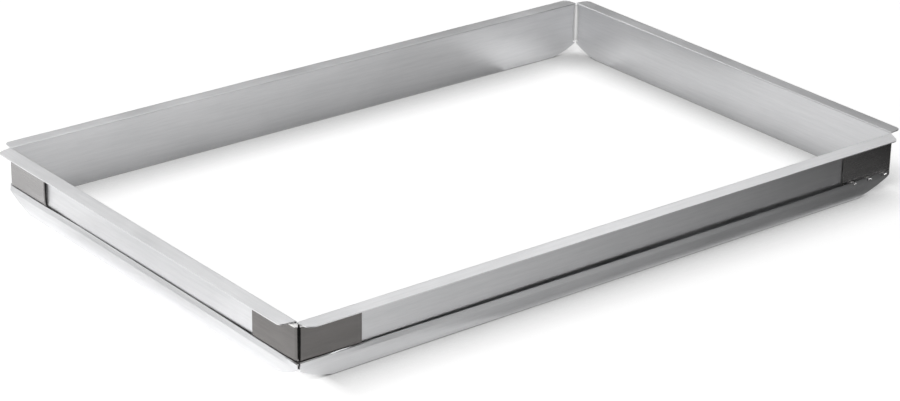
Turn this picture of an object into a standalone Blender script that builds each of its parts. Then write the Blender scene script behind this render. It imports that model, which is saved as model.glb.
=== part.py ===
"""Baking sheet extender: four folded rails held together by four corner brackets.

Metres, +Z up. The frame stands on Z = 0 with its centre on the Z axis and its long side along X.
Run it with: blender --background --python part.py
"""
import math

import bmesh
import bpy
from mathutils import Matrix

MM = 0.001

# Whole frame
INNER_LENGTH = 628.65 * MM
INNER_WIDTH = 419.4 * MM
HEIGHT = 50.8 * MM
SHEET = 0.9 * MM
HALF_SHEET = SHEET / 2
CLEARANCE = 0.3 * MM

# Rail section: reach is measured outward from the wall's inner face, depth down from the top
FLANGE_REACH = 14.6 * MM
HEM_REACH = 4.4 * MM
LIP_REACH = 3.4 * MM
LIP_DEPTH = 33.3 * MM
SHOULDER_DEPTH = 37.6 * MM
FOLD_RADIUS = 0.95 * MM
FOLD_SEGMENTS = 5
FOLD_ANGLE = math.radians(30)

# Rail ends: setbacks are measured back from the corner of the opening
WALL_SETBACK = 3.2 * MM
WALL_TOP_SETBACK = 1.2 * MM
WALL_TAPER_DEPTH = 8.0 * MM
WALL_FOOT_SETBACK = 0.6 * MM
WALL_FOOT_DEPTH = 39.4 * MM
BEND_RELIEF = FOLD_RADIUS + HALF_SHEET
FLANGE_SLANT = 3.0 * MM
FLANGE_CORNER_RADIUS = 4.0 * MM
SKIRT_OVERRUN = 2.6 * MM
CORNER_RISE_DEPTH = 40.6 * MM
CORNER_RISE_LENGTH = 34.0 * MM
CORNER_RISE_HANDLE = (21.0 * MM, 2.75 * MM)

# Corner bracket
LEG_LENGTH = 58.8 * MM
LEG_MID = SHEET + CLEARANCE + HALF_SHEET
LEG_BEND_RADIUS = 3.55 * MM
LEG_BEND_SEGMENTS = 8
LEG_TOP_DEPTH = 1.6 * MM
LEG_BOTTOM_DEPTH = 39.0 * MM
EAR_TOP_DEPTH = SHEET + CLEARANCE
EAR_REACH = 6.0 * MM
EAR_LENGTH = 55.0 * MM
EAR_CORNER_RADIUS = 3.0 * MM
EAR_CHAMFER = 3.0 * MM
EAR_SLIT = 0.8 * MM
EAR_BEND_STEPS = 3

# Tongues of the bracket and the slots they pass through, along each leg
TONGUE_PLACES = (6.0 * MM, 24.7 * MM, 43.4 * MM)
TONGUE_WIDTH = 3.4 * MM
TONGUE_REACH = 4.2 * MM
TONGUE_DEPTH = 35.25 * MM

# Working values
CUT_MARGIN = 5.0 * MM
ARC_STEPS = 6
RISE_STEPS = 12
WELD_DISTANCE = 0.00001
SHARP_ANGLE = math.radians(25)


def clear_scene():
    for thing in list(bpy.context.scene.objects):
        bpy.data.objects.remove(thing, do_unlink=True)


def new_collection(name):
    collection = bpy.data.collections.new(name)
    bpy.context.scene.collection.children.link(collection)
    return collection


def sheet_metal(name, colour, roughness):
    """Bare sheet metal with the colour and the gloss seen in the photograph."""
    material = bpy.data.materials.new(name)
    material.use_nodes = True
    shader = material.node_tree.nodes["Principled BSDF"]
    shader.inputs["Base Color"].default_value = (*colour, 1.0)
    shader.inputs["Metallic"].default_value = 1.0
    shader.inputs["Roughness"].default_value = roughness
    return material


def link_object(name, mesh, collection):
    thing = bpy.data.objects.new(name, mesh)
    collection.objects.link(thing)
    return thing


def hide_tool(tool):
    tool.hide_render = True
    tool.display_type = "WIRE"
    return tool


def swept_sheet(name, points, sweep, collection):
    """An open sheet: a line through the points, extruded by the sweep vector."""
    shape = bmesh.new()
    row = [shape.verts.new(point) for point in points]
    for start, end in zip(row, row[1:]):
        shape.edges.new((start, end))
    made = bmesh.ops.extrude_edge_only(shape, edges=shape.edges[:])
    moved = [part for part in made["geom"] if isinstance(part, bmesh.types.BMVert)]
    bmesh.ops.translate(shape, verts=moved, vec=sweep)
    bmesh.ops.recalc_face_normals(shape, faces=shape.faces[:])
    mesh = bpy.data.meshes.new(name)
    shape.to_mesh(mesh)
    shape.free()
    return link_object(name, mesh, collection)


def box(name, lows, highs, collection):
    """A block between two corners, used as a cutter or as a tongue."""
    shape = bmesh.new()
    size = [high - low for low, high in zip(lows, highs)]
    middle = [(high + low) / 2 for low, high in zip(lows, highs)]
    matrix = Matrix.Translation(middle) @ Matrix.Diagonal((*size, 1.0))
    bmesh.ops.create_cube(shape, size=1.0, matrix=matrix)
    mesh = bpy.data.meshes.new(name)
    shape.to_mesh(mesh)
    shape.free()
    return hide_tool(link_object(name, mesh, collection))


def plate(name, outline, thickness, collection, matrix):
    """A flat outline with a thickness, drawn as a filled curve and then made a mesh."""
    curve = bpy.data.curves.new(name, "CURVE")
    curve.dimensions = "2D"
    curve.fill_mode = "BOTH"
    curve.extrude = thickness / 2
    line = curve.splines.new("POLY")
    line.points.add(len(outline) - 1)
    for point, (x, y) in zip(line.points, outline):
        point.co = (x, y, 0.0, 1.0)
    line.use_cyclic_u = True
    drawn = link_object(name + "_outline", curve, collection)
    drawn.matrix_world = matrix
    bpy.context.view_layer.update()
    mesh = bpy.data.meshes.new_from_object(drawn.evaluated_get(bpy.context.evaluated_depsgraph_get()))
    shape = bmesh.new()
    shape.from_mesh(mesh)
    bmesh.ops.remove_doubles(shape, verts=shape.verts[:], dist=WELD_DISTANCE)
    bmesh.ops.recalc_face_normals(shape, faces=shape.faces[:])
    shape.to_mesh(mesh)
    shape.free()
    solid = link_object(name, mesh, collection)
    solid.matrix_world = matrix
    bpy.data.objects.remove(drawn, do_unlink=True)
    return hide_tool(solid)


def combine(body, tool, operation):
    step = body.modifiers.new(tool.name, "BOOLEAN")
    step.operation = operation
    step.solver = "EXACT"
    step.object = tool


def thicken(body, bend_radius, segments):
    """Round the folds of an open sheet and give it the sheet's thickness."""
    fold = body.modifiers.new("folds", "BEVEL")
    fold.limit_method = "ANGLE"
    fold.angle_limit = FOLD_ANGLE
    fold.width = bend_radius
    fold.segments = segments
    skin = body.modifiers.new("thickness", "SOLIDIFY")
    skin.thickness = SHEET
    skin.offset = 0.0
    skin.use_even_offset = True


def finished_mesh(body):
    """The mesh after all modifiers, smooth over its bends and sharp along its edges."""
    bpy.context.view_layer.update()
    mesh = bpy.data.meshes.new_from_object(body.evaluated_get(bpy.context.evaluated_depsgraph_get()))
    mesh.shade_smooth()
    mesh.set_sharp_from_angle(angle=SHARP_ANGLE)
    return mesh


def arc(centre, radius, start, end, steps):
    """Points on a circle from one angle to another, both ends included."""
    angles = [start + (end - start) * step / steps for step in range(steps + 1)]
    return [(centre[0] + radius * math.cos(a), centre[1] + radius * math.sin(a)) for a in angles]


def wall_end(half):
    """Side view of what is cut off the wall: a window for the bracket's bend, closed again at the foot."""
    far = half + HEM_REACH + CUT_MARGIN
    top = HEIGHT + CUT_MARGIN
    start = half - WALL_TOP_SETBACK
    end = half - WALL_SETBACK
    foot = half - WALL_FOOT_SETBACK
    foot_height = HEIGHT - WALL_FOOT_DEPTH
    return [(start, top), (start, HEIGHT - BEND_RELIEF), (end, HEIGHT - WALL_TAPER_DEPTH), (end, foot_height),
            (foot, foot_height), (foot, -CUT_MARGIN), (far, -CUT_MARGIN), (far, top)]


def flange_end(half):
    """Plan of what is cut off the flange: a slightly slanted end with a rounded outer corner."""
    end = half - FLANGE_SLANT
    centre = (end - FLANGE_CORNER_RADIUS, FLANGE_REACH - FLANGE_CORNER_RADIUS)
    far = half + HEM_REACH + CUT_MARGIN
    rounding = arc(centre, FLANGE_CORNER_RADIUS, 0.0, math.pi / 2, ARC_STEPS)
    outer = FLANGE_REACH + CUT_MARGIN
    return [(half, -CUT_MARGIN), (half, BEND_RELIEF), *rounding, (rounding[-1][0], outer), (far, outer),
            (far, -CUT_MARGIN)]


def corner_rise(half):
    """Side view of what is cut from the rail's lower edge, which curves up towards the corner."""
    low = (half - CORNER_RISE_LENGTH, 0.0)
    high = (half, HEIGHT - CORNER_RISE_DEPTH)
    handle = (low[0] + CORNER_RISE_HANDLE[0], CORNER_RISE_HANDLE[1])
    points = []
    for step in range(RISE_STEPS + 1):
        t = step / RISE_STEPS
        shares = ((1 - t) ** 2, 2 * t * (1 - t), t ** 2)
        points.append(tuple(sum(s * p[axis] for s, p in zip(shares, (low, handle, high))) for axis in (0, 1)))
    slope = (high[1] - handle[1]) / (high[0] - handle[0])
    reach = HEM_REACH + CUT_MARGIN
    past = (half + reach, high[1] + slope * reach)
    return [(low[0], -CUT_MARGIN), *points, past, (past[0], -CUT_MARGIN)]


def rail_mesh(name, length, tools):
    """One rail along X: flange, wall, folded hem and outer skirt with its inward-leaning lip."""
    half = length / 2
    section = [
        (FLANGE_REACH, HEIGHT - HALF_SHEET),
        (HALF_SHEET, HEIGHT - HALF_SHEET),
        (HALF_SHEET, HALF_SHEET),
        (HEM_REACH - HALF_SHEET, HALF_SHEET),
        (HEM_REACH - HALF_SHEET, HEIGHT - SHOULDER_DEPTH),
        (LIP_REACH - HALF_SHEET, HEIGHT - LIP_DEPTH),
    ]
    start = -CUT_MARGIN
    points = [(start, reach, height) for reach, height in section]
    body = swept_sheet(name + "_sheet", points, (half + HEM_REACH - start, 0.0, 0.0), tools)
    hide_tool(body)
    thicken(body, FOLD_RADIUS, FOLD_SEGMENTS)

    far = half + HEM_REACH + CUT_MARGIN
    upright = Matrix.Rotation(math.pi / 2, 4, "X")
    wall_trim = plate(name + "_wall_trim", wall_end(half), BEND_RELIEF + CUT_MARGIN, tools,
                      Matrix.Translation((0.0, (BEND_RELIEF - CUT_MARGIN) / 2, 0.0)) @ upright)
    flange_trim = plate(name + "_flange_trim", flange_end(half), 2 * CUT_MARGIN, tools,
                        Matrix.Translation((0.0, 0.0, HEIGHT)))
    skirt_trim = box(name + "_skirt_trim", (half + SKIRT_OVERRUN, 0.0, -CUT_MARGIN),
                     (far, HEM_REACH + CUT_MARGIN, HEIGHT - (LIP_DEPTH + SHEET) / 2), tools)
    lower_trim = plate(name + "_lower_trim", corner_rise(half), HEM_REACH + 2 * CUT_MARGIN, tools,
                       Matrix.Translation((0.0, HEM_REACH / 2, 0.0)) @ upright)
    for tool in (wall_trim, flange_trim, skirt_trim, lower_trim):
        combine(body, tool, "DIFFERENCE")
    for number, place in enumerate(TONGUE_PLACES):
        reach = TONGUE_WIDTH / 2 + CLEARANCE
        rise = HALF_SHEET + CLEARANCE
        slot = box(f"{name}_slot_{number + 1}",
                   (half - place - reach, (SHEET + LIP_REACH) / 2, HEIGHT - TONGUE_DEPTH - rise),
                   (half - place + reach, HEM_REACH + CUT_MARGIN, HEIGHT - TONGUE_DEPTH + rise), tools)
        combine(body, slot, "DIFFERENCE")

    mirror = body.modifiers.new("other_half", "MIRROR")
    mirror.use_axis[0] = True
    mirror.use_bisect_axis[0] = True
    mirror.merge_threshold = WELD_DISTANCE
    return finished_mesh(body)


def ear_outline():
    """Plan of one ear: a strip beside the leg that ends at the slit over the bend."""
    centre = LEG_MID - LEG_BEND_RADIUS
    last = math.acos(EAR_SLIT / LEG_BEND_RADIUS / math.sqrt(2)) + math.pi / 4 - math.pi / 2
    bend = arc((centre, centre), LEG_BEND_RADIUS, math.pi / 2, math.pi / 2 - last, EAR_BEND_STEPS)
    outer = arc((EAR_CORNER_RADIUS - EAR_LENGTH, EAR_REACH - EAR_CORNER_RADIUS), EAR_CORNER_RADIUS,
                math.pi, math.pi / 2, ARC_STEPS)
    tip = (EAR_CHAMFER + EAR_REACH) / 2
    return [(-EAR_LENGTH, LEG_MID), *outer, (EAR_CHAMFER - HEM_REACH, EAR_REACH),
            (tip - EAR_SLIT - HALF_SHEET, tip - HALF_SHEET), *reversed(bend)]


def bracket_mesh(tools):
    """Corner bracket around the +X +Y corner: two legs, a rounded bend, two ears and six tongues."""
    low = HEIGHT - LEG_BOTTOM_DEPTH
    points = [(-LEG_LENGTH, LEG_MID, low), (LEG_MID, LEG_MID, low), (LEG_MID, -LEG_LENGTH, low)]
    body = swept_sheet("bracket_sheet", points, (0.0, 0.0, LEG_BOTTOM_DEPTH - LEG_TOP_DEPTH), tools)
    hide_tool(body)
    thicken(body, LEG_BEND_RADIUS, LEG_BEND_SEGMENTS)

    ear_height = Matrix.Translation((0.0, 0.0, HEIGHT - EAR_TOP_DEPTH - HALF_SHEET))
    outline = ear_outline()
    swapped = [(y, x) for x, y in outline]
    for name, shape in (("bracket_ear_along_x", outline), ("bracket_ear_along_y", swapped)):
        combine(body, plate(name, shape, SHEET, tools, ear_height), "UNION")
    base = HEIGHT - TONGUE_DEPTH - HALF_SHEET
    for number, place in enumerate(TONGUE_PLACES):
        along = (-place - TONGUE_WIDTH / 2, -place + TONGUE_WIDTH / 2)
        out = (LEG_MID, TONGUE_REACH)
        on_x = box(f"bracket_tongue_x_{number + 1}", (along[0], out[0], base), (along[1], out[1], base + SHEET), tools)
        on_y = box(f"bracket_tongue_y_{number + 1}", (out[0], along[0], base), (out[1], along[1], base + SHEET), tools)
        combine(body, on_x, "UNION")
        combine(body, on_y, "UNION")
    return finished_mesh(body)


def main():
    clear_scene()
    parts = new_collection("baking_sheet_extender")
    tools = new_collection("cutters")
    rail_metal = sheet_metal("aluminium_sheet", (0.78, 0.78, 0.79), 0.34)
    bracket_metal = sheet_metal("stainless_sheet", (0.47, 0.46, 0.45), 0.30)

    long_rail = rail_mesh("long_rail", INNER_LENGTH, tools)
    short_rail = rail_mesh("short_rail", INNER_WIDTH, tools)
    bracket = bracket_mesh(tools)
    for mesh, metal in ((long_rail, rail_metal), (short_rail, rail_metal), (bracket, bracket_metal)):
        mesh.materials.clear()
        mesh.materials.append(metal)

    x, y = INNER_LENGTH / 2, INNER_WIDTH / 2
    quarter = math.pi / 2
    places = [
        ("back_rail", long_rail, (0.0, y), 0),
        ("left_rail", short_rail, (-x, 0.0), 1),
        ("front_rail", long_rail, (0.0, -y), 2),
        ("right_rail", short_rail, (x, 0.0), 3),
        ("back_right_corner_bracket", bracket, (x, y), 0),
        ("back_left_corner_bracket", bracket, (-x, y), 1),
        ("front_left_corner_bracket", bracket, (-x, -y), 2),
        ("front_right_corner_bracket", bracket, (x, -y), 3),
    ]
    for name, mesh, (px, py), turns in places:
        piece = link_object(name, mesh, parts)
        piece.location = (px, py, 0.0)
        piece.rotation_euler = (0.0, 0.0, turns * quarter)


main()
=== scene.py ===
# %% [markdown]
# # Baking sheet extender
# A sheet pan is only about 25 mm deep. An extender is a frame without a bottom that stands inside such a pan
# and makes its walls higher, so that a deep cake or a brownie can be baked in it. It is folded from thin
# metal sheet: four rails, joined by a bracket in each corner.
# The CAD model comes in first, and stays where it is. Everything that follows is placed on it.

# %% Load the CAD model
import math

import bpy
import numpy as np
from mathutils import Matrix, Vector


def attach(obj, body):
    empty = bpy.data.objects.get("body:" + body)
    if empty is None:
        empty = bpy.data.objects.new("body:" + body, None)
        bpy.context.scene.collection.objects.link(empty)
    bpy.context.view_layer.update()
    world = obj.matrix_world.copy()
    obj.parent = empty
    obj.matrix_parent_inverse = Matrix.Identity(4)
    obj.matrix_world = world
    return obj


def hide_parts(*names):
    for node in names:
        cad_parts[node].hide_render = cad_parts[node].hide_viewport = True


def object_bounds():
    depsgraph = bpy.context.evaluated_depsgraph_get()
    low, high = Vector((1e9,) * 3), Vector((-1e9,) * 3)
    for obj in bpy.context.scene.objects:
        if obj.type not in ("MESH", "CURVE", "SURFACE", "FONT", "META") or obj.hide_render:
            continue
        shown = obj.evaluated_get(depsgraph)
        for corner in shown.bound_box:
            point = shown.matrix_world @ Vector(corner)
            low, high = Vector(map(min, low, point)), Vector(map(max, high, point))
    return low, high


MM = 0.001
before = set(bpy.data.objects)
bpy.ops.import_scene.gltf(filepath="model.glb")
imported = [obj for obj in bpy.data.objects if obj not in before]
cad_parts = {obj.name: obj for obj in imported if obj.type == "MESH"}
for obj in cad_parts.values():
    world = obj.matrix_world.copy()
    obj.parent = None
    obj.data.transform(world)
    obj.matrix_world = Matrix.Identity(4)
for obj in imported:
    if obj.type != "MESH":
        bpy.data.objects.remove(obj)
cad_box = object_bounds()
print("CAD box, mm:", [[round(value / MM, 1) for value in corner] for corner in cad_box])

# %% [markdown]
# ## Sizes
# A folded part is best described by its flat pieces: how far each one reaches outwards from the inner face of
# the wall ("reach"), and how deep it lies below the top of the frame ("depth"). All rails share these values.
# The opening is worked out from the box round the CAD nodes, so that the pieces made here always fit them.

# %% Sizes of the folded sheet
SHEET = 0.9 * MM
HALF_SHEET = SHEET / 2
FOLD_RADIUS = 0.95 * MM
TOP_FOLD_RADIUS = 0.47 * MM

FLANGE_REACH = 14.6 * MM
HEM_REACH = 4.4 * MM
LIP_REACH = 3.4 * MM
LIP_DEPTH = 33.3 * MM
SHOULDER_DEPTH = 37.6 * MM

HEIGHT = cad_box[1].z
HALF_LENGTH = cad_box[1].x - FLANGE_REACH
HALF_WIDTH = cad_box[1].y - FLANGE_REACH
print("opening, mm:", round(2 * HALF_LENGTH / MM, 1), "x", round(2 * HALF_WIDTH / MM, 1))

# %% [markdown]
# ## From a grid of points to a piece of sheet
# Thin sheet has one interesting surface, its middle. So each piece is worked out as a grid of points on that
# middle surface, with rows across the section and columns along the length, and Solidify gives it the
# thickness afterwards. A box model with many cuts would need far more work for every small warp of the sheet.
# Each grid also gets a UV map in metres: U along the length and V across the section. The metal's grain reads
# it, so that the grain follows each fold round the corner, as it does on a real bent sheet.

# %% Helper: a grid of points becomes a mesh
def grid_mesh(name, points, keep=None):
    """Mesh of quads between neighbouring points of a (rows, columns, 3) array; keep says which exist."""
    rows, columns = points.shape[:2]
    index = np.arange(rows * columns).reshape(rows, columns)
    quads = np.stack([index[:-1, :-1], index[:-1, 1:], index[1:, 1:], index[1:, :-1]], axis=-1)
    quads = quads.reshape(-1, 4) if keep is None else quads[keep]
    used = np.unique(quads)
    mesh = bpy.data.meshes.new(name)
    mesh.from_pydata(points.reshape(-1, 3)[used].tolist(), [], np.searchsorted(used, quads).tolist())

    step_along = np.linalg.norm(np.diff(points, axis=1), axis=-1)
    along = np.concatenate([np.zeros((rows, 1)), np.cumsum(step_along, axis=1)], axis=1)
    along -= along[:, -1:] / 2
    middle = columns // 2
    step_across = np.linalg.norm(np.diff(points[:, middle], axis=0), axis=-1)
    across = np.concatenate([[0.0], np.cumsum(step_across)])
    uv = np.stack([along, np.broadcast_to(across[:, None], along.shape)], axis=-1).reshape(-1, 2)
    layer = mesh.uv_layers.new(name="sheet")
    corners = np.empty(len(mesh.loops), dtype=np.int32)
    mesh.loops.foreach_get("vertex_index", corners)
    layer.data.foreach_set("uv", uv[used][corners].astype(np.float32).ravel())
    return mesh


# %% Helper: a mesh becomes a shown piece with the sheet's thickness
EDGE_ROUNDING = 0.3 * MM
EDGE_ANGLE = math.radians(60)
SHEET_EDGE_STEPS = 3
SKIN_MARGIN = 0.04 * MM
SHOWN_SHEET = SHEET - SKIN_MARGIN
FLAT_FACE_WEIGHT = 100


def new_object(name, data):
    """An object that shows the given data, as part of the scene."""
    made = bpy.data.objects.new(name, data)
    bpy.context.scene.collection.objects.link(made)
    return made


def soften_edges(piece, steps):
    """A narrow bevel on the sharp edges; returns the modifier."""
    rounding = piece.modifiers.new("softened_edges", "BEVEL")
    rounding.width = EDGE_ROUNDING
    rounding.segments = steps
    return rounding


def sheet_piece(name, mesh, metal, cut_edge):
    """A piece of the frame: the middle surface with its thickness, softened edges and its two finishes."""
    piece = new_object(name, mesh)
    mesh.materials.append(metal)
    mesh.materials.append(cut_edge)
    skin = piece.modifiers.new("thickness", "SOLIDIFY")
    skin.thickness = SHOWN_SHEET
    skin.offset = 0.0
    skin.use_even_offset = True
    skin.material_offset_rim = 1
    rounding = soften_edges(piece, SHEET_EDGE_STEPS)
    rounding.limit_method = "ANGLE"
    rounding.angle_limit = EDGE_ANGLE
    rounding.use_clamp_overlap = True
    mesh.shade_smooth()
    flat = piece.modifiers.new("flat_faces", "WEIGHTED_NORMAL")
    flat.weight = FLAT_FACE_WEIGHT
    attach(piece, "root")
    return piece


# %% [markdown]
# ## The section of a rail
# Walk across a rail with a finger: in along the flange, down the wall, round the fold at the bottom, and up
# the outer skirt to its lip, which leans in towards the wall. That walk is a line with a few corners.
# A press brake gives every corner a radius, so each is replaced by an arc.

# %% Helper: arcs in the corners of a line
ARC_STEPS = 6


def corner_arc(before, corner, after, radius, steps=ARC_STEPS):
    """Arc that touches both legs of a corner: its centre is radius / sin(half angle) along the bisector."""
    before, corner, after = (np.asarray(p, dtype=float) for p in (before, corner, after))
    one = (before - corner) / np.linalg.norm(before - corner)
    two = (after - corner) / np.linalg.norm(after - corner)
    half_angle = math.acos(np.clip(one @ two, -1.0, 1.0)) / 2
    bisector = (one + two) / np.linalg.norm(one + two)
    centre = corner + bisector * radius / math.sin(half_angle)
    start = corner + one * radius / math.tan(half_angle) - centre
    end = corner + two * radius / math.tan(half_angle) - centre
    share = np.linspace(0.0, 1.0, steps + 1)[:, None]
    turn = math.acos(np.clip(start @ end / radius**2, -1.0, 1.0))
    return centre + (np.sin((1 - share) * turn) * start + np.sin(share * turn) * end) / math.sin(turn)


def straight(start, end, shares):
    """Points on a straight line at the given shares of its length."""
    start, end = np.asarray(start, dtype=float), np.asarray(end, dtype=float)
    return start + (end - start) * np.asarray(shares)[:, None]


# %% Corners of the section as (reach, depth)
bend_start = FOLD_RADIUS + HALF_SHEET
top_start = TOP_FOLD_RADIUS + HALF_SHEET
skirt_line = HEM_REACH - HALF_SHEET
lip_line = LIP_REACH - HALF_SHEET
bottom_line = HEIGHT - HALF_SHEET
lower_start = HEIGHT - bend_start

flange_inner = (top_start, HALF_SHEET)
top_corner = (HALF_SHEET, HALF_SHEET)
bottom_inner = (HALF_SHEET, bottom_line)
bottom_outer = (skirt_line, bottom_line)
shoulder = (skirt_line, SHOULDER_DEPTH)
lip = (lip_line, LIP_DEPTH)

# %% The flange and the wall as rows
EDGE_MARGIN = 0.1 * MM
FLANGE_EDGE = FLANGE_REACH - EDGE_MARGIN
ROUNDED_REACH = 8.0 * MM
WALL_TAPER_DEPTH = 8.0 * MM
WALL_FOOT_DEPTH = 39.4 * MM
FLANGE_ROWS = 9
TAPER_ROWS = 5
WALL_ROWS = 12
FOOT_ROWS = 16

rounding_angles = np.linspace(math.pi / 2, 0.0, FLANGE_ROWS)
flange_rounding = FLANGE_EDGE - ROUNDED_REACH + ROUNDED_REACH * np.sin(rounding_angles)
flange_flat = np.linspace(flange_rounding[-1], top_start, FLANGE_ROWS)[1:-1]
flange_reaches = np.concatenate([flange_rounding, flange_flat])
flange_rows = np.stack([flange_reaches, np.full(len(flange_reaches), HALF_SHEET)], axis=-1)
top_fold = corner_arc(flange_inner, top_corner, bottom_inner, TOP_FOLD_RADIUS)

wall_depths = np.concatenate([
    np.linspace(top_start, WALL_TAPER_DEPTH, TAPER_ROWS)[1:],
    np.linspace(WALL_TAPER_DEPTH, WALL_FOOT_DEPTH, WALL_ROWS)[1:-1],
    np.linspace(WALL_FOOT_DEPTH, lower_start, FOOT_ROWS)[:-1],
])
wall_rows = np.stack([np.full(len(wall_depths), HALF_SHEET), wall_depths], axis=-1)

# %% The folds, the skirt and the lip as rows
SHOULDER_RADIUS = 2.0 * MM
SHOULDER_STEPS = 4
SKIRT_ROWS = 16
SLOT_DEPTH = 35.05 * MM
SLOT_HALF_HEIGHT = 0.7 * MM
LIP_ROW_SHARE = 0.8

inner_fold = corner_arc(top_corner, bottom_inner, bottom_outer, FOLD_RADIUS)
outer_fold = corner_arc(bottom_inner, bottom_outer, shoulder, FOLD_RADIUS)
skirt_rows = straight((skirt_line, lower_start), shoulder, np.linspace(0.0, 1.0, SKIRT_ROWS)[1:-1])
shoulder_rows = corner_arc(bottom_outer, shoulder, lip, SHOULDER_RADIUS, SHOULDER_STEPS)
slot_edges = np.array([SLOT_DEPTH + SLOT_HALF_HEIGHT, SLOT_DEPTH - SLOT_HALF_HEIGHT])
slot_shares = (slot_edges - SHOULDER_DEPTH) / (LIP_DEPTH - SHOULDER_DEPTH)
lip_rows = straight(shoulder, lip, np.sort([*slot_shares, LIP_ROW_SHARE, 1.0]))

section_parts = {
    "flange": flange_rows, "top_fold": top_fold, "wall": wall_rows, "inner_fold": inner_fold,
    "outer_fold": outer_fold[1:], "skirt": skirt_rows, "shoulder": shoulder_rows, "lip": lip_rows,
}
section = np.concatenate(list(section_parts.values()))
part_names = np.concatenate([[name] * len(rows) for name, rows in section_parts.items()])
above_foot = np.isin(part_names, ["flange", "top_fold", "wall"])
above_foot &= section[:, 1] < WALL_FOOT_DEPTH - HALF_SHEET
print("rows across a rail:", len(section))

# %% [markdown]
# ## The ends of a rail
# The rails don't run into each other. The flange stops at the corner with a slightly slanted, rounded end.
# The wall has a narrow window in which the bracket's bend sits, and closes again below it. The skirt stops
# short of its neighbour, and the lower edge curves upwards to clear the rounded corner of the pan.
# A boolean cutter for each would work, as in the CAD model. Here the end is a function instead: it gives, for
# each row of the section, where along the rail that row stops. The whole outline follows from one formula.

# %% Where each row of the section stops
WALL_SETBACK = 3.2 * MM
WALL_TOP_SETBACK = 1.2 * MM
WALL_FOOT_SETBACK = 0.6 * MM
LONGEST_OVERRUN = 4.2 * MM
CURVE_SAMPLES = 200

PLAIN_END = dict(start=0.0, slant=3.0, rounding=4.0, overrun=2.6, rise=(40.6, 34.0, 13.0, 48.05))


def corner_rise(depth, rise_depth, rise_length, handle_setback, handle_depth):
    """Setback at a depth: a quadratic curve from the corner's edge down to the bottom, read the other way."""
    t = np.linspace(0.0, 1.0, CURVE_SAMPLES)
    setback = 2 * t * (1 - t) * handle_setback + t**2 * rise_length
    curve_depth = (1 - t) ** 2 * rise_depth + 2 * t * (1 - t) * handle_depth + t**2 * HEIGHT
    above = (depth - rise_depth) * handle_setback / (handle_depth - rise_depth)
    return np.where(depth > rise_depth, np.interp(depth, curve_depth, setback), above)


def row_ends(start, slant, rounding, overrun, rise):
    """Setback of every row's end from the inner corner: negative where the row runs past it."""
    start, slant, rounding, overrun = (value * MM for value in (start, slant, rounding, overrun))
    reach, depth = section[:, 0], section[:, 1]
    share = (reach - bend_start) / (FLANGE_REACH - bend_start)
    into_corner = np.clip(reach - FLANGE_EDGE + rounding, 0.0, rounding)
    flange = slant * share - start + rounding - np.sqrt(rounding**2 - into_corner**2)
    fold = np.interp(depth, (HALF_SHEET, bend_start), (-start, WALL_TOP_SETBACK))
    wall = np.interp(depth, (bend_start, WALL_TAPER_DEPTH), (WALL_TOP_SETBACK, WALL_SETBACK))
    wall = np.where(above_foot, wall, WALL_FOOT_SETBACK)
    which = [part_names == "flange", part_names == "top_fold", np.isin(part_names, ["wall", "inner_fold"])]
    end = np.select(which, [flange, fold, wall], np.full(len(section), -overrun))
    return np.maximum(end, corner_rise(depth, *(value * MM for value in rise)))


# %% [markdown]
# ## Small warps
# Nothing as long and thin as a rail stays perfectly true. On this one the lip stands open along the front, so
# that a dark gap of changing width shows behind it, and on the left it leans in almost to the wall. The free
# corners of the flange hang down a little.
# The wall and the flange also have very shallow waves, which make soft reflections wander along them.
# Each warp is a smooth function of the place along the rail, added to the flat section.

# %% Soft curves and waves
KNOT_SAMPLES = 400
KNOT_SOFTNESS = 30
WAVES = ((0.31, 0.45), (0.17, 0.3), (0.083, 0.25))
WAVE_LEAN = 4
LEAN_WIDTH = 0.05


def smooth_step(share):
    """0 to 1 with flat ends: 3 s^2 - 2 s^3."""
    share = np.clip(share, 0.0, 1.0)
    return share * share * (3 - 2 * share)


def along_knots(x, half, values):
    """A soft curve through values spaced evenly from one end of the rail to the other."""
    places = np.linspace(-half, half, len(values))
    fine = np.linspace(-half, half, KNOT_SAMPLES)
    rough = np.interp(fine, places, values)
    window = np.hanning(2 * KNOT_SOFTNESS + 1)
    padded = np.pad(rough, KNOT_SOFTNESS, mode="edge")
    return np.interp(x, fine, np.convolve(padded, window / window.sum(), mode="valid"))


def waves(x, across, seed):
    """Shallow waves between -1 and 1: the sum of a few long sine waves, each with its own lean and phase."""
    rng = np.random.default_rng(seed)
    total = np.zeros(np.broadcast(x, across).shape)
    for length, weight in WAVES:
        phase, lean = rng.uniform(0, 2 * math.pi), rng.uniform(-WAVE_LEAN, WAVE_LEAN)
        total += weight * np.sin(2 * math.pi * x / length + lean * across / LEAN_WIDTH + phase)
    return total


# %% Warps of the sheet
WAVE_HEIGHT = 0.10 * MM
FLANGE_WAVE_HEIGHT = WAVE_HEIGHT * 1.5
STIFF_END = 70.0 * MM
DROOP_POWER = 1.3
TUCK = 1.0 * MM
TUCK_HEIGHT = 0.86 * MM
TUCK_LIFT = 0.6 * MM


def tucked_in(x, half, tuck, side):
    """How far the lip's edge is tucked in, 0 to 1: the sheet just below it stands out, most at one end."""
    rows = np.interp(section[:, 1], (LIP_DEPTH, LIP_DEPTH + TUCK_HEIGHT, SHOULDER_DEPTH), (0.0, 1.0, 0.0))
    return rows[:, None] * (1 - smooth_step((half - side * x) / tuck))


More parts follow.
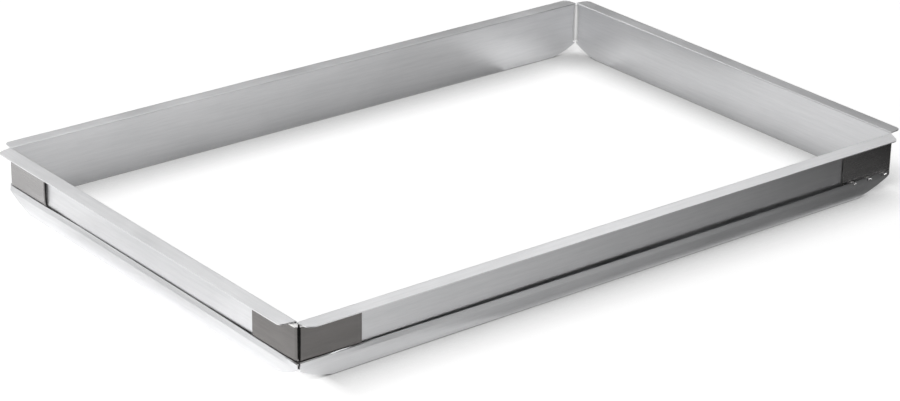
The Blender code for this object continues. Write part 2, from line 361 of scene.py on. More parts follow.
def warped(x, half, lip_opening, flange_droop, tuck, side, seed):
    """Reach and depth of every point of the rail, after the lip, the flange and the waves moved it."""
    reach = np.broadcast_to(section[:, :1], x.shape).copy()
    depth = np.broadcast_to(section[:, 1:], x.shape).copy()
    outer = np.isin(part_names, ["skirt", "shoulder", "lip"])[:, None]
    rise = smooth_step((lower_start - depth) / (lower_start - LIP_DEPTH))
    reach += np.where(outer, rise * along_knots(x, half, lip_opening), 0.0)
    tucked = np.where(outer & (depth < SHOULDER_DEPTH), tucked_in(x, half, tuck, side), 0.0)
    reach += TUCK * tucked
    depth -= TUCK_LIFT * tucked

    flange = (part_names == "flange")[:, None]
    share = (reach - bend_start) / (FLANGE_REACH - bend_start)
    droop = np.clip(share, 0.0, 1.0) ** DROOP_POWER * along_knots(x, half, flange_droop)
    depth += np.where(flange, droop, 0.0)

    stiff = smooth_step((half - np.abs(x)) / STIFF_END)
    wall = (part_names == "wall")[:, None]
    bulge = np.sin(math.pi * np.clip((depth - bend_start) / (lower_start - bend_start), 0.0, 1.0))
    reach -= np.where(wall, WAVE_HEIGHT * bulge * stiff * (1 + waves(x, depth, seed)), 0.0)
    hang = np.where(flange, share * stiff, 0.0)
    depth += FLANGE_WAVE_HEIGHT * hang * (1 + waves(x, reach, seed + 1))
    return reach, depth


# %% Columns along a rail
SLOT_PLACES = np.array([8.8, 27.4, 46.0]) * MM
SLOT_HALF_WIDTH = 2.0 * MM
COLUMNS_BETWEEN = np.array([0.6, 15.5, 34.0, 55.0]) * MM
COLUMN_STEP = 8.0 * MM
END_ZONE = 65.0 * MM
TOP_ZONE = 15.5 * MM
FAR_AWAY = 1.0
PAST_END = 1.0 * MM


def column_setbacks(half):
    """Setbacks of the columns on one half of the rail, from its middle to its end; slots lie between two."""
    slots = np.concatenate([SLOT_PLACES - SLOT_HALF_WIDTH, SLOT_PLACES + SLOT_HALF_WIDTH])
    middle = np.linspace(half, END_ZONE, int(half / COLUMN_STEP))
    ends = [WALL_SETBACK, -LONGEST_OVERRUN]
    return np.sort(np.concatenate([middle, slots, COLUMNS_BETWEEN, ends]))[::-1]


def moved_to_ends(setbacks, ends):
    """Each row's columns slide so that the last one meets the row's end; further in than END_ZONE none moves.
    Rows above the foot end at the column of the wall's setback, the other rows at the very last column."""
    least, most = WALL_SETBACK - WALL_FOOT_SETBACK, WALL_SETBACK + LONGEST_OVERRUN
    kept = ends + np.clip(WALL_SETBACK - ends, least, most)
    near, far = np.where(above_foot, ends, kept), np.where(above_foot, ends - PAST_END, ends)
    zone = np.where(above_foot, TOP_ZONE, END_ZONE)
    rows = [np.interp(-setbacks, (-END_ZONE - FAR_AWAY, -width, -WALL_SETBACK, LONGEST_OVERRUN),
                      (END_ZONE + FAR_AWAY, width, one, two)) for width, one, two in zip(zone, near, far)]
    return np.array(rows)


# %% The grid of one rail, and its slots
def rail_points(half, ends, lip_opening, flange_droop, tuck, slots, seed):
    """The rail lies along X, its wall's inner face at Y 0: x from the columns, y = reach, z = height."""
    setbacks = column_setbacks(half)
    left = moved_to_ends(setbacks, row_ends(**ends[0])) - half
    right = half - moved_to_ends(setbacks, row_ends(**ends[1]))
    x = np.concatenate([left[:, :0:-1], right], axis=1)
    reach, depth = warped(x, half, lip_opening, flange_droop, *tuck, seed)
    points = np.stack([x, reach, HEIGHT - depth], axis=-1)

    setback = np.concatenate([setbacks[:0:-1], setbacks])
    cell = (setback[:-1] + setback[1:]) / 2
    at_slot = (np.abs(cell[:, None] - SLOT_PLACES) < SLOT_HALF_WIDTH).any(axis=1)
    at_slot &= (np.arange(len(cell)) < len(setbacks) - 1) & slots
    row_depth = (section[:-1, 1] + section[1:, 1]) / 2
    in_slot = (np.abs(row_depth - SLOT_DEPTH) < SLOT_HALF_HEIGHT) & (part_names[:-1] == "lip")
    beyond_wall = cell < WALL_SETBACK
    keep = ~(in_slot[:, None] & at_slot[None, :]) & ~(above_foot[:-1, None] & beyond_wall[None, :])
    return points, keep


def placed(points, corner, turns):
    """Turns points by quarter turns about Z, then moves them to their side of the frame."""
    angle = turns * math.pi / 2
    cos, sin = round(math.cos(angle)), round(math.sin(angle))
    x = cos * points[..., 0] - sin * points[..., 1] + corner[0]
    y = sin * points[..., 0] + cos * points[..., 1] + corner[1]
    return np.stack([x, y, points[..., 2]], axis=-1)


# %% [markdown]
# ## Metal
# The rails are plain rolled aluminium: fine lines run along the sheet in its rolling direction, and the
# surface is satin rather than mirror bright. It has been handled, so there are faint smears and a few
# hairline scratches. The brackets are stainless sheet in a plain tone, and in a lighter and a darker copy
# of it, which are painted highlight and painted shade. Where a sheet was sheared, the cut edge is rougher
# and has a tone of its own; on the stainless, the lighter and darker edge tones are painted highlight and
# painted shade, and they also colour the ears and the tongues.
# The lines come from noise that is squeezed across the UV map, so that it is stretched along the sheet.

# %% Helpers: materials and their nodes
def new_material(name):
    """A node material, with what is needed to build it: its nodes, its links and its shader."""
    material = bpy.data.materials.new(name)
    material.use_nodes = True
    nodes, links = material.node_tree.nodes, material.node_tree.links
    return material, nodes, links, nodes["Principled BSDF"]


def noise(nodes, links, vector, scale, detail, location=(0.0, 0.0, 0.0), stretch=(1.0, 1.0, 1.0), angle=0.0):
    """Noise over the given coordinates, stretched and turned; returns its grey output."""
    mapping = nodes.new("ShaderNodeMapping")
    mapping.inputs["Location"].default_value = location
    mapping.inputs["Rotation"].default_value = (0.0, 0.0, angle)
    mapping.inputs["Scale"].default_value = stretch
    links.new(vector, mapping.inputs["Vector"])
    texture = nodes.new("ShaderNodeTexNoise")
    texture.inputs["Scale"].default_value = scale
    texture.inputs["Detail"].default_value = detail
    links.new(mapping.outputs["Vector"], texture.inputs["Vector"])
    return texture.outputs["Fac"]


def remap(nodes, links, value, low, high, to_low, to_high):
    """Clamped linear change of a value's range."""
    node = nodes.new("ShaderNodeMapRange")
    for name, number in (("From Min", low), ("From Max", high), ("To Min", to_low), ("To Max", to_high)):
        node.inputs[name].default_value = number
    links.new(value, node.inputs["Value"])
    return node.outputs["Result"]


def join_values(nodes, links, operation, one, two):
    """One step of arithmetic; each side is a number or another node's output."""
    node = nodes.new("ShaderNodeMath")
    node.operation = operation
    for socket, value in zip(node.inputs, (one, two)):
        if isinstance(value, float):
            socket.default_value = value
        else:
            links.new(value, socket)
    return node.outputs["Value"]


def add_bump(nodes, links, shader, height, strength, distance):
    """Lets a grey output raise and lower the surface."""
    bump = nodes.new("ShaderNodeBump")
    bump.inputs["Strength"].default_value = strength
    bump.inputs["Distance"].default_value = distance
    links.new(height, bump.inputs["Height"])
    links.new(bump.outputs["Normal"], shader.inputs["Normal"])


# %% Rolled sheet
BRUSHED = 0.35
FINE_LINES = dict(scale=60.0, detail=3.0, stretch=(1.0, 60.0, 1.0))
COARSE_LINES = dict(scale=14.0, detail=2.0, location=(0.3, 0.7, 0.0), stretch=(1.0, 22.0, 1.0))
SMEARS = dict(scale=16.0, detail=4.0, location=(0.1, 0.4, 0.0), stretch=(1.0, 1.7, 1.0))
HAIRLINES = dict(scale=30.0, detail=1.0, location=(0.9, 0.2, 0.0), stretch=(1.0, 45.0, 1.0), angle=0.42)
HAIRLINE_RANGE = (0.70, 0.74)
HAIRLINE_STRENGTH = 0.5
LINES_RANGE = (0.35, 0.65)
SMEAR_RANGE = (0.3, 0.7)
FINE_SHARE = 0.6
COARSE_SHARE = 0.4
LINES_TONE = 0.6
SMEAR_TONE = 0.4
HAIRLINE_TONE = 0.3
SMEAR_GLOSS = 0.05
LINES_GLOSS = 0.03
HAIRLINE_CUT = -0.5
LINES_BUMP = 0.5


def rolled_metal(name, dark, light, roughness, grain_depth):
    """Rolled sheet: lines along U, smears and scratches, as changes of colour, gloss and height."""
    material, nodes, links, shader = new_material(name)
    shader.inputs["Metallic"].default_value = 1.0
    shader.inputs["Anisotropic"].default_value = BRUSHED
    uv = nodes.new("ShaderNodeUVMap")
    uv.uv_map = "sheet"
    place = uv.outputs["UV"]
    tangent = nodes.new("ShaderNodeTangent")
    tangent.direction_type = "UV_MAP"
    tangent.uv_map = "sheet"
    links.new(tangent.outputs["Tangent"], shader.inputs["Tangent"])

    patterns = (FINE_LINES, COARSE_LINES, SMEARS, HAIRLINES)
    fine, coarse, smear, hair = (noise(nodes, links, place, **pattern) for pattern in patterns)
    scratches = remap(nodes, links, hair, *HAIRLINE_RANGE, 0.0, HAIRLINE_STRENGTH)
    fine_part = join_values(nodes, links, "MULTIPLY", fine, FINE_SHARE)
    coarse_part = join_values(nodes, links, "MULTIPLY", coarse, COARSE_SHARE)
    grain = join_values(nodes, links, "ADD", fine_part, coarse_part)

    lines_tone = remap(nodes, links, grain, *LINES_RANGE, 0.0, LINES_TONE)
    smear_tone = remap(nodes, links, smear, *SMEAR_RANGE, 0.0, SMEAR_TONE)
    scratch_tone = join_values(nodes, links, "MULTIPLY", scratches, HAIRLINE_TONE)
    tone = join_values(nodes, links, "ADD", lines_tone, smear_tone)
    tone = join_values(nodes, links, "ADD", tone, scratch_tone)
    ramp = nodes.new("ShaderNodeValToRGB")
    ramp.color_ramp.elements[0].color = (*dark, 1.0)
    ramp.color_ramp.elements[1].color = (*light, 1.0)
    links.new(tone, ramp.inputs["Fac"])
    links.new(ramp.outputs["Color"], shader.inputs["Base Color"])

    smear_gloss = remap(nodes, links, smear, *SMEAR_RANGE, roughness - SMEAR_GLOSS, roughness + SMEAR_GLOSS)
    lines_gloss = remap(nodes, links, fine, *SMEAR_RANGE, -LINES_GLOSS, LINES_GLOSS)
    links.new(join_values(nodes, links, "ADD", smear_gloss, lines_gloss), shader.inputs["Roughness"])

    cut = join_values(nodes, links, "MULTIPLY", scratches, HAIRLINE_CUT)
    height = join_values(nodes, links, "ADD", grain, cut)
    add_bump(nodes, links, shader, height, LINES_BUMP, grain_depth)
    return material


# %% Sheared edge
NICKS = dict(scale=900.0, detail=2.0)
NICKS_RANGE = (0.3, 0.7)
NICKS_ROUGHNESS = (0.34, 0.5)
NICKS_BUMP = 0.4
NICKS_DEPTH = 0.03 * MM


def sheared_edge(name, colour):
    """A cut edge: one colour, rough, with small nicks from the shear."""
    material, nodes, links, shader = new_material(name)
    shader.inputs["Metallic"].default_value = 1.0
    shader.inputs["Base Color"].default_value = (*colour, 1.0)
    place = nodes.new("ShaderNodeTexCoord").outputs["Object"]
    nicks = noise(nodes, links, place, **NICKS)
    links.new(remap(nodes, links, nicks, *NICKS_RANGE, *NICKS_ROUGHNESS), shader.inputs["Roughness"])
    add_bump(nodes, links, shader, nicks, NICKS_BUMP, NICKS_DEPTH)
    return material


# %% Finishes of this frame, with painted highlight and painted shade tones for the brackets
ALUMINIUM_GRAIN = 0.012 * MM
STAINLESS_GRAIN = 0.010 * MM
# Bright and dark are lighter and darker copies of plain stainless: painted highlight and painted shade.
STAINLESS_TONES = {
    "painted_highlight": ((0.90, 0.895, 0.895), (0.96, 0.955, 0.955), 0.45),
    "plain": ((0.335, 0.327, 0.326), (0.445, 0.436, 0.433), 0.26),
    "dark": ((0.162, 0.155, 0.151), (0.232, 0.223, 0.217), 0.22),
}
# Edge tones also colour the ears and tongues: bright is a painted highlight, dull is painted shade.
STAINLESS_EDGE_TONES = {"painted_highlight": (0.93, 0.92, 0.91), "painted_dull_shade": (0.25, 0.245, 0.24)}

aluminium = rolled_metal("rolled_aluminium", (0.70, 0.705, 0.715), (0.84, 0.84, 0.85), 0.38, ALUMINIUM_GRAIN)
stainless = {tone: rolled_metal(f"{tone}_stainless", *look, STAINLESS_GRAIN)
             for tone, look in STAINLESS_TONES.items()}
aluminium_edge = sheared_edge("sheared_aluminium_edge", (0.86, 0.86, 0.87))
stainless_edge = {tone: sheared_edge(f"{tone}_stainless_edge", colour)
                  for tone, colour in STAINLESS_EDGE_TONES.items()}
print("finishes:", [material.name for material in bpy.data.materials])

# %% [markdown]
# ## The four rails
# All four come from the same functions. Only the length, the ends and the warps differ, and the slots, which
# are opened only where they show, at the right end of the front rail.
# The turn and the corner put each one on its side of the opening, where its CAD node is.
# Lip and droop are in millimetres, at places spaced evenly along the rail.

# %% The ends and warps of each rail
LEFT_FAR_RISE = (36.7, 36.0, 12.0, 43.5)
BACK_LEFT_END = PLAIN_END | dict(start=0.4, slant=1.6, rounding=4.5, overrun=0.6)
BACK_RIGHT_END = PLAIN_END | dict(start=-0.9, slant=1.0, rounding=5.5)
LEFT_FRONT_END = PLAIN_END | dict(start=-1.4, slant=2.2, overrun=4.2)
LEFT_BACK_END = PLAIN_END | dict(start=1.0, slant=3.0, rounding=4.5, overrun=-1.0, rise=LEFT_FAR_RISE)
FRONT_LEFT_END = PLAIN_END | dict(start=1.5, slant=0.6, rounding=7.5, overrun=1.1)
FRONT_RIGHT_END = dict(start=-1.5, slant=5.2, rounding=4.0, overrun=-3.9, rise=(34.0, 45.0, 18.0, 46.0))
RIGHT_BACK_END = PLAIN_END | dict(start=1.0, slant=1.0, rounding=5.0)
RIGHT_FRONT_END = PLAIN_END | dict(start=-0.2, slant=1.8, rounding=5.0, overrun=-3.9)
RAILS = {
    "back": dict(half=HALF_LENGTH, corner=(0.0, HALF_WIDTH), turns=0, seed=3, tuck=(1.0, 1), slots=False,
                 ends=(BACK_LEFT_END, BACK_RIGHT_END),
                 lip=(0.2, 0.8, 1.0, 0.8, 0.2),
                 droop=(0.4, 0.2, 0.2, 0.2, 0.4)),
    "left": dict(half=HALF_WIDTH, corner=(-HALF_LENGTH, 0.0), turns=1, seed=11, tuck=(14.0, -1), slots=False,
                 ends=(LEFT_FRONT_END, LEFT_BACK_END),
                 lip=(-0.3, -0.4, -1.0, -1.2, -1.3, -1.4, -1.5, -0.1, -0.3),
                 droop=(0.3, 0.2, 0.2, 0.2, 0.3)),
    "front": dict(half=HALF_LENGTH, corner=(0.0, -HALF_WIDTH), turns=2, seed=19, tuck=(70.0, 1), slots=True,
                  ends=(FRONT_RIGHT_END, FRONT_LEFT_END),
                  lip=(1.2, 2.0, 2.6, 2.4, 2.0, 1.5, 0.8, -0.2, -0.3),
                  droop=(1.1, 0.5, 0.3, 0.2, 0.2, 0.1, 0.0)),
    "right": dict(half=HALF_WIDTH, corner=(HALF_LENGTH, 0.0), turns=3, seed=27, tuck=(1.0, 1), slots=False,
                  ends=(RIGHT_BACK_END, RIGHT_FRONT_END),
                  lip=(0.2, 0.8, 1.0, 0.8, 0.2),
                  droop=(0.4, 0.2, 0.2, 0.2, 0.6)),
}


# %% Make the rails
def make_rail(side, half, corner, turns, seed, tuck, slots, ends, lip, droop):
    """One rail as a grid of points, put in its place, with its finishes."""
    tucked = (tuck[0] * MM, tuck[1])
    points, keep = rail_points(half, ends, np.array(lip) * MM, np.array(droop) * MM, tucked, slots, seed)
    mesh = grid_mesh(f"{side}_rail_sheet", placed(points, corner, turns), keep)
    rail = sheet_piece(f"{side}_rail_sheet", mesh, aluminium, aluminium_edge)
    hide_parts(f"{side}_rail")
    return rail


rails = {side: make_rail(side, **facts) for side, facts in RAILS.items()}
print("rails:", {side: len(rail.data.polygons) for side, rail in rails.items()})

# %% [markdown]
# ## The corner brackets
# A bracket is a strip bent once into a rounded corner. Its foot stands in the pocket behind the lip, three
# small tongues on each leg go through slots in the lip, and narrow ears lie under the flanges. The four
# differ a little in length and ears, as in the photograph, and in tone, where a lighter tone is a painted
# highlight and a darker one painted shade.
# As a surface it is a path seen from above (leg, bend, leg) and a section (up the leg, and out along the ear)
# that is carried along it. The ears can't follow the bend, so a slit is left there.

# %% Path of a bracket
CLEARANCE = 0.3 * MM
LEG_MID = SHEET + CLEARANCE + HALF_SHEET
BEND_RADIUS = 3.55 * MM
FLARE_LENGTH = 5.0 * MM
LEG_END_ZONE = 55.0 * MM
LEG_ZONE = 54.0 * MM
LEG_END_COLUMNS = 5
LEG_COLUMNS = 24
BEND_COLUMNS = 17


def bracket_path(leg_length):
    """Points (x, y) along the strip, their outward directions, the directions' angles, and how far the strip
    springs outwards there: the share squared of the last few millimetres."""
    bend_centre = LEG_MID - BEND_RADIUS
    leg_end = np.linspace(leg_length, LEG_END_ZONE, LEG_END_COLUMNS)
    leg = np.concatenate([leg_end, np.linspace(LEG_ZONE, -bend_centre, LEG_COLUMNS)])
    angles = np.linspace(math.pi / 2, 0.0, BEND_COLUMNS)
    first = np.stack([-leg, np.full(len(leg), LEG_MID)], axis=-1)
    arc = bend_centre + BEND_RADIUS * np.stack([np.cos(angles), np.sin(angles)], axis=-1)
    path = np.concatenate([first, arc[1:-1], first[::-1, ::-1]])
    turn = np.concatenate([np.full(len(leg), math.pi / 2), angles[1:-1], np.zeros(len(leg))])
    outward = np.stack([np.cos(turn), np.sin(turn)], axis=-1)
    share = np.clip((-path.min(axis=-1) - leg_length + FLARE_LENGTH) / FLARE_LENGTH, 0.0, 1.0)
    return path, outward, turn, share**2


# %% Surface of a bracket
LEG_FOOT_DEPTH = 39.0 * MM
EAR_DEPTH = SHEET + CLEARANCE + HALF_SHEET
EAR_BEND = 0.6 * MM
EAR_SETBACK = 3.8 * MM
EAR_ROUNDING = 2.0 * MM
SHORTEST_EAR = 0.3 * MM
FREE_DEPTH = 28.0 * MM
FOOT_HOLD = 0.8
LEG_ROWS = 12
EAR_BEND_ROWS = 5
EAR_ROWS = 5
NEARLY_ZERO = 1e-6


def ear_reaches(path, outward, leg_length, ear_reach, ear_tip, flare):
    """How far the ear reaches at each column: out to a square corner, whose tip is cut off where
    x + y = ear_tip, with rounded far ends."""
    to_side = (ear_reach - path) / np.maximum(outward, NEARLY_ZERO)
    ear = np.where(outward > NEARLY_ZERO, to_side, np.inf).min(axis=-1)
    ear = np.minimum(ear, (ear_tip - path.sum(axis=-1)) / outward.sum(axis=-1))
    ear -= flare * 2
    from_end = np.clip(path.min(axis=-1) + leg_length - EAR_SETBACK, 0.0, EAR_ROUNDING)
    ear -= EAR_ROUNDING - np.sqrt(EAR_ROUNDING**2 - (EAR_ROUNDING - from_end) ** 2)
    return np.maximum(ear - EAR_BEND, SHORTEST_EAR)


def bracket_points(leg_length, ear_reach, ear_tip, flare):
    """Path point + outward direction * reach of the section's row; also the directions' angles."""
    path, outward, turn, springs = bracket_path(leg_length)
    ear = ear_reaches(path, outward, leg_length, ear_reach, ear_tip, flare)
    leg = np.linspace(LEG_FOOT_DEPTH, EAR_DEPTH + EAR_BEND, LEG_ROWS)
    bend = np.linspace(0.0, math.pi / 2, EAR_BEND_ROWS + 1)[1:]
    out = np.linspace(0.0, 1.0, EAR_ROWS + 1)[1:]
    depths = np.concatenate([leg, EAR_DEPTH + EAR_BEND * (1 - np.sin(bend)), np.full(EAR_ROWS, EAR_DEPTH)])
    bend_reach = EAR_BEND * (1 - np.cos(bend))
    reaches = np.concatenate([
        np.zeros((LEG_ROWS, len(path))),
        np.broadcast_to(bend_reach[:, None], (EAR_BEND_ROWS, len(path))),
        EAR_BEND + out[:, None] * ear[None, :],
    ])
    free = 1 - smooth_step((depths - FREE_DEPTH) / (LIP_DEPTH - FREE_DEPTH)) * FOOT_HOLD
    reaches = reaches + flare * free[:, None] * springs[None, :]
    plan = path[None] + outward[None] * reaches[..., None]
    depth = np.broadcast_to(depths[:, None], reaches.shape)
    return np.concatenate([plan, (HEIGHT - depth)[..., None]], axis=-1), turn


# %% Tongues of a bracket
TONGUE_WIDTH = 3.4 * MM
TONGUE_SLOPE = 0.9 * MM
TONGUE_LIFT = 0.2 * MM
TONGUE_EDGE_STEPS = 2


def tongue_mesh(name, corner, turns, tongue_reach):
    """Six flat blocks, three on each leg, as closed grids: a loop of four corners carried outwards."""
    base = HEIGHT - SLOT_DEPTH + TONGUE_LIFT
    corners = np.array([(-1, -1), (1, -1), (1, 1), (-1, 1)]) / 2 * (TONGUE_WIDTH, SHEET)
    reach = np.array([LEG_MID, tongue_reach])
    blocks = np.empty((len(SLOT_PLACES), 2, 4, 3))
    blocks[..., 0] = -SLOT_PLACES[:, None, None] + corners[None, None, :, 0]
    blocks[..., 1] = reach[None, :, None]
    blocks[..., 2] = base + corners[None, None, :, 1]
    blocks[:, 1, 2:, 1] -= TONGUE_SLOPE
    swapped = blocks[..., [1, 0, 2]][:, :, ::-1]
    blocks = np.concatenate([blocks, swapped]).reshape(-1, 8, 3)
    faces = np.array([(0, 1, 2, 3), (7, 6, 5, 4), (0, 4, 5, 1), (1, 5, 6, 2), (2, 6, 7, 3), (3, 7, 4, 0)])
    faces = (faces[None] + 8 * np.arange(len(blocks))[:, None, None]).reshape(-1, 4)
    mesh = bpy.data.meshes.new(name)
    mesh.from_pydata(placed(blocks.reshape(-1, 3), corner, turns).tolist(), [], faces.tolist())
    return mesh


def make_tongues(place, corner, turns, tongue_reach):
    """The tongues of one bracket as a piece of their own, because their edges are softened in another way."""
    name = f"{place}_bracket_tongues"
    mesh = tongue_mesh(name, corner, turns, tongue_reach)
    tongues = new_object(name, mesh)
    # The tongues take the bright edge tone, a painted highlight on top of the glint lamp's light.
    mesh.materials.append(stainless_edge["painted_highlight"])
    soften_edges(tongues, TONGUE_EDGE_STEPS)
    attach(tongues, "root")
    return tongues


# %% Make the brackets
# Tone keys: bright is a painted highlight, dark and dull are painted shade, plain is the metal's own tone.
PLAIN_BRACKET = dict(tone_and_painted_light="plain", edge="painted_dull_shade", leg=58.8, ear_reach=4.2, ear_tip=9.0, slit=(0.0, 90.0),
                     flare=0.3, tongue_reach=3.2)
BRACKETS = {
    "back_right": PLAIN_BRACKET | dict(corner=(HALF_LENGTH, HALF_WIDTH), turns=0, tone_and_painted_light="painted_highlight"),
    "back_left": PLAIN_BRACKET | dict(corner=(-HALF_LENGTH, HALF_WIDTH), turns=1, leg=57.8, flare=1.5),
    "front_left": PLAIN_BRACKET | dict(corner=(-HALF_LENGTH, -HALF_WIDTH), turns=2, tone_and_painted_light="dark",
                                       edge="painted_highlight", leg=57.2, ear_reach=6.0, ear_tip=9.4,
                                       slit=(50.0, 63.0), flare=0.0),
    "front_right": PLAIN_BRACKET | dict(corner=(HALF_LENGTH, -HALF_WIDTH), turns=3, tongue_reach=5.7),
}


def make_bracket(place, corner, turns, tone_and_painted_light, edge, leg, ear_reach, ear_tip, slit, flare, tongue_reach):
    """The bent strip with its ears; slit gives the angles of the bend between which the ear is left out."""
    points, turn = bracket_points(leg * MM, ear_reach * MM, ear_tip * MM, flare * MM)
    middle_turn = np.degrees(turn[:-1] + turn[1:]) / 2
    in_slit = (middle_turn > slit[0]) & (middle_turn < slit[1])
    keep = np.ones((points.shape[0] - 1, points.shape[1] - 1), dtype=bool)
    keep[LEG_ROWS:] = ~in_slit
    mesh = grid_mesh(f"{place}_bracket_sheet", placed(points, corner, turns), keep)
    bracket = sheet_piece(f"{place}_bracket_sheet", mesh, stainless[tone_and_painted_light], stainless_edge[edge])
    # The ears take the edge tone: a painted highlight on the front left bracket, painted shade on the others.
    on_ear = np.nonzero(keep)[0] >= LEG_ROWS + EAR_BEND_ROWS - 1
    mesh.polygons.foreach_set("material_index", on_ear.astype(np.int32))
    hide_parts(f"{place}_corner_bracket")
    make_tongues(place, corner, turns, tongue_reach * MM)
    return bracket


brackets = {place: make_bracket(place, **facts) for place, facts in BRACKETS.items()}
print("brackets:", {place: len(bracket.data.polygons) for place, bracket in brackets.items()})

# %% [markdown]
# ## Floor
# The frame stands on white paper, so the background is the floor itself. A share of plain white is mixed in
# where the camera or a reflection looks, which keeps the paper even and the shadow light, as in a product
# photograph. That white takes no shadow, so the paper is darkened by how much of its surroundings the frame
# hides close by. On the left, where the strongest lamps stand, the photograph has almost no shadow, and there
# the same measure lifts the white a little instead.

# %% Helpers: where a look comes from, and where a point lies
def looked_at(nodes, links):
    """1 where the camera, a reflection or a ray through glass looks, 0 for light that surfaces receive."""
    path = nodes.new("ShaderNodeLightPath")
    seen = join_values(nodes, links, "MAXIMUM", path.outputs["Is Camera Ray"], path.outputs["Is Glossy Ray"])
    return join_values(nodes, links, "MAXIMUM", seen, path.outputs["Is Transmission Ray"])


def place_along_x(nodes, links):
    """The X of the object's own coordinates, in metres."""
    split = nodes.new("ShaderNodeSeparateXYZ")
    links.new(nodes.new("ShaderNodeTexCoord").outputs["Object"], split.inputs["Vector"])
    return split.outputs["X"]


# %% Make the floor
FLOOR_SIZE = 8.0
FLOOR_COLOUR = 0.9
FLOOR_WHITE = 1.6
FLOOR_SHARE = 0.4
CONTACT_REACH = 50.0 * MM
CONTACT_SAMPLES = 8
CONTACT_SHADE = 0.95
CONTACT_LIFT = -1.0
CONTACT_FADE = (-0.313, -0.29)


def contact_shade(nodes, links):
    """1 on open paper, less where the frame stands close by, and more than 1 there to the left of the frame:
    1 - strength * hidden share, with a strength that turns negative across CONTACT_FADE."""
    near = nodes.new("ShaderNodeAmbientOcclusion")
    near.samples = CONTACT_SAMPLES
    near.inputs["Distance"].default_value = CONTACT_REACH
    strength = remap(nodes, links, place_along_x(nodes, links), *CONTACT_FADE, CONTACT_LIFT, CONTACT_SHADE)
    hidden = join_values(nodes, links, "SUBTRACT", 1.0, near.outputs["AO"])
    return join_values(nodes, links, "SUBTRACT", 1.0, join_values(nodes, links, "MULTIPLY", strength, hidden))


def paper_floor():
    """A square of white paper under the frame."""
    half = FLOOR_SIZE / 2
    points = np.array([[[-half, -half, 0.0], [half, -half, 0.0]], [[-half, half, 0.0], [half, half, 0.0]]])
    floor = new_object("paper_floor", grid_mesh("paper_floor", points))
    material, nodes, links, shader = new_material("white_paper")
    shade = contact_shade(nodes, links)
    paper = join_values(nodes, links, "MINIMUM", shade, 1.0)
    links.new(join_values(nodes, links, "MULTIPLY", paper, FLOOR_COLOUR), shader.inputs["Base Color"])
    shader.inputs["Roughness"].default_value = 1.0
    shader.inputs["Specular IOR Level"].default_value = 0.0
    white = nodes.new("ShaderNodeEmission")
    links.new(join_values(nodes, links, "MULTIPLY", shade, FLOOR_WHITE), white.inputs["Strength"])
    mix = nodes.new("ShaderNodeMixShader")
    links.new(join_values(nodes, links, "MULTIPLY", looked_at(nodes, links), FLOOR_SHARE), mix.inputs["Fac"])
    links.new(shader.outputs["BSDF"], mix.inputs[1])
    links.new(white.outputs["Emission"], mix.inputs[2])
    links.new(mix.outputs["Shader"], nodes["Material Output"].inputs["Surface"])
    floor.data.materials.append(material)
    return floor


floor = paper_floor()
print("floor, m:", [round(size, 2) for size in floor.dimensions])

# %% [markdown]
# ## Cards for the reflections
# Metal has hardly any tone of its own: it shows its surroundings. In the photograph the front rail runs from
# pale grey on the left to dark grey on the right, although it is one flat sheet, so what it mirrors gets
# darker to the right. The cards here are painted shade for the reflections: black sheets that lie flat on
# the paper and exist only for reflections, so they take no light away and the camera doesn't see them.
# They stand in for shaded paper and dark surroundings that the metal mirrors. Each has a share of black
# that changes evenly along X or stays the same. The front card grades the front rail, the corner card puts
# the dark stripe into the bend at the near corner, and the others dim the back wall, the right wall and the
# outside of the left rail.

# %% Make the cards
# The cards' black: painted shade that only reflections see.
CARD_BLACK = 0.02
CARDS = {
    "front_card": dict(height=0.5, fade=(-0.40, 0.42, 0.16, 1.0),
                       corners=[[(-0.45, -0.27), (-0.12, -0.2168), (2.5, -0.2168)],
                                [(-0.45, -0.31), (-0.12, -0.51), (2.5, -2.5)]]),
    "corner_card": dict(height=1.0, fade=(-2.0, 0.2, 1.0, 1.0),
                        corners=[[(-2.2, -0.90), (-0.322, -0.2175)], [(-2.2, -2.2), (0.396, -2.2)]]),
    "inside_card": dict(height=0.5, fade=(-0.31, 0.25, 0.38, 0.56),
                        corners=[[(-0.312, 0.2095), (0.225, 0.2095)], [(-0.312, 0.08), (0.235, 0.08)]]),
    "right_card": dict(height=0.8, fade=(0.10, 0.314, 0.10, 0.26),
                       corners=[[(0.10, 0.16), (0.314, 0.16)], [(0.10, -0.209), (0.314, -0.209)]]),
    "left_card": dict(height=0.5, fade=(-0.55, -0.335, 0.05, 0.18),
                      corners=[[(-0.55, 0.14), (-0.335, 0.14)], [(-0.55, -0.07), (-0.335, -0.07)]]),
}


def reflected_card(name, corners, height, fade):
    """A flat card seen only in reflections, where its black is painted shade. Fade holds two places along X
    and the share of black at each of them; the rest of the card is clear."""
    plan = np.array(corners)
    points = np.concatenate([plan, np.full((*plan.shape[:2], 1), height * MM)], axis=-1)
    card = new_object(name, grid_mesh(name, points))
    material, nodes, links, shader = new_material(f"{name}_black")
    shader.inputs["Base Color"].default_value = (CARD_BLACK, CARD_BLACK, CARD_BLACK, 1.0)
    shader.inputs["Roughness"].default_value = 1.0
    links.new(remap(nodes, links, place_along_x(nodes, links), *fade), shader.inputs["Alpha"])
    card.data.materials.append(material)
    for kind in ("camera", "diffuse", "shadow", "transmission", "volume_scatter"):
        setattr(card, f"visible_{kind}", False)


for name, facts in CARDS.items():
    reflected_card(name, **facts)
print("cards:", list(CARDS))

# %% [markdown]
# ## Light
# Soft boxes hang round the table: strong ones at the front left and high in front, weaker ones behind. Light
# adds up, so their strengths were found by rendering each box alone and solving for the mix that gives the
# greys of the photograph, and small changes followed.
# One more small box gives the tongues of the front right bracket their bright spots. Light linking keeps its
# light off everything else.

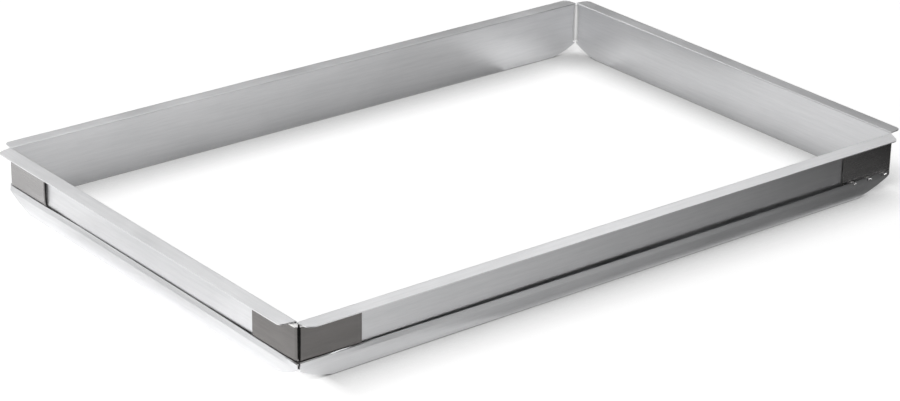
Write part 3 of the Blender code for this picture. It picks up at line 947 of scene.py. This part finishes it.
# %% Soft boxes: azimuth and elevation in degrees, power in watts, size in metres
LAMP_DISTANCE = 2.6
LAMPS = {
    "left_low": (240, 15, 22.0, 1.2), "high_left": (240, 55, 28.0, 1.2), "high_front": (150, 55, 12.0, 1.2),
    "back_left_low": (330, 15, 3.0, 1.2), "back_left": (330, 32, 2.0, 1.2), "back": (0, 32, 9.0, 1.2),
    "back_right": (30, 32, 3.0, 1.2), "right_back": (60, 32, 3.0, 1.2), "high_back": (30, 55, 7.0, 1.2),
    "small_back": (50, 44, 2.0, 0.8),
}
GLINT = (119, 38, 7.0, 0.6)


def soft_box(name, azimuth, elevation, power, size):
    """A square area lamp on a sphere round the table, facing its middle; azimuth from +Y towards +X."""
    turn, tilt = math.radians(azimuth), math.radians(elevation)
    away = Vector((math.sin(turn) * math.cos(tilt), math.cos(turn) * math.cos(tilt), math.sin(tilt)))
    lamp = bpy.data.lights.new(name, "AREA")
    lamp.size = size
    lamp.energy = power
    box = new_object(name, lamp)
    box.location = away * LAMP_DISTANCE
    box.rotation_mode = "QUATERNION"
    box.rotation_quaternion = (-away).to_track_quat("-Z", "Y")
    return box


for name, facts in LAMPS.items():
    soft_box(name, *facts)
print("soft boxes:", len(LAMPS), "total power, W:", sum(facts[2] for facts in LAMPS.values()))

glint = soft_box("glint", *GLINT)
glint.light_linking.receiver_collection = bpy.data.collections.new("lit_by_the_glint")
glint.light_linking.receiver_collection.objects.link(bpy.data.objects["front_right_bracket_tongues"])

# %% The room round the boxes
STUDIO_GREY = 0.03

world = bpy.data.worlds.new("dim_studio")
bpy.context.scene.world = world
world.use_nodes = True
background = world.node_tree.nodes["Background"]
background.inputs["Color"].default_value = (STUDIO_GREY, STUDIO_GREY, STUDIO_GREY, 1.0)

# %% [markdown]
# ## Camera
# The photograph was taken from in front of the left corner, from rather far away with a long lens, so the
# long sides stay nearly parallel. The angles come from the directions of the frame's edges in the picture.

# %% Camera
CAMERA_PLACE = Vector((-1.37321, -1.72305, 0.94472))
CAMERA_YAW, CAMERA_PITCH, CAMERA_ROLL = (math.radians(angle) for angle in (38.42492, 23.33220, 0.78999))
CAMERA_LENS = 111.015
SENSOR_WIDTH = 36.0

camera_data = bpy.data.cameras.new("camera")
camera_data.lens = CAMERA_LENS
camera_data.sensor_width = SENSOR_WIDTH
camera = new_object("camera", camera_data)
turned = Matrix.Rotation(-CAMERA_YAW, 4, "Z") @ Matrix.Rotation(math.pi / 2 - CAMERA_PITCH, 4, "X")
camera.matrix_world = Matrix.Translation(CAMERA_PLACE) @ turned @ Matrix.Rotation(CAMERA_ROLL, 4, "Z")
bpy.context.scene.camera = camera
bpy.context.scene.view_settings.view_transform = "Standard"
print("camera, m from the middle of the frame:", round(CAMERA_PLACE.length, 2))
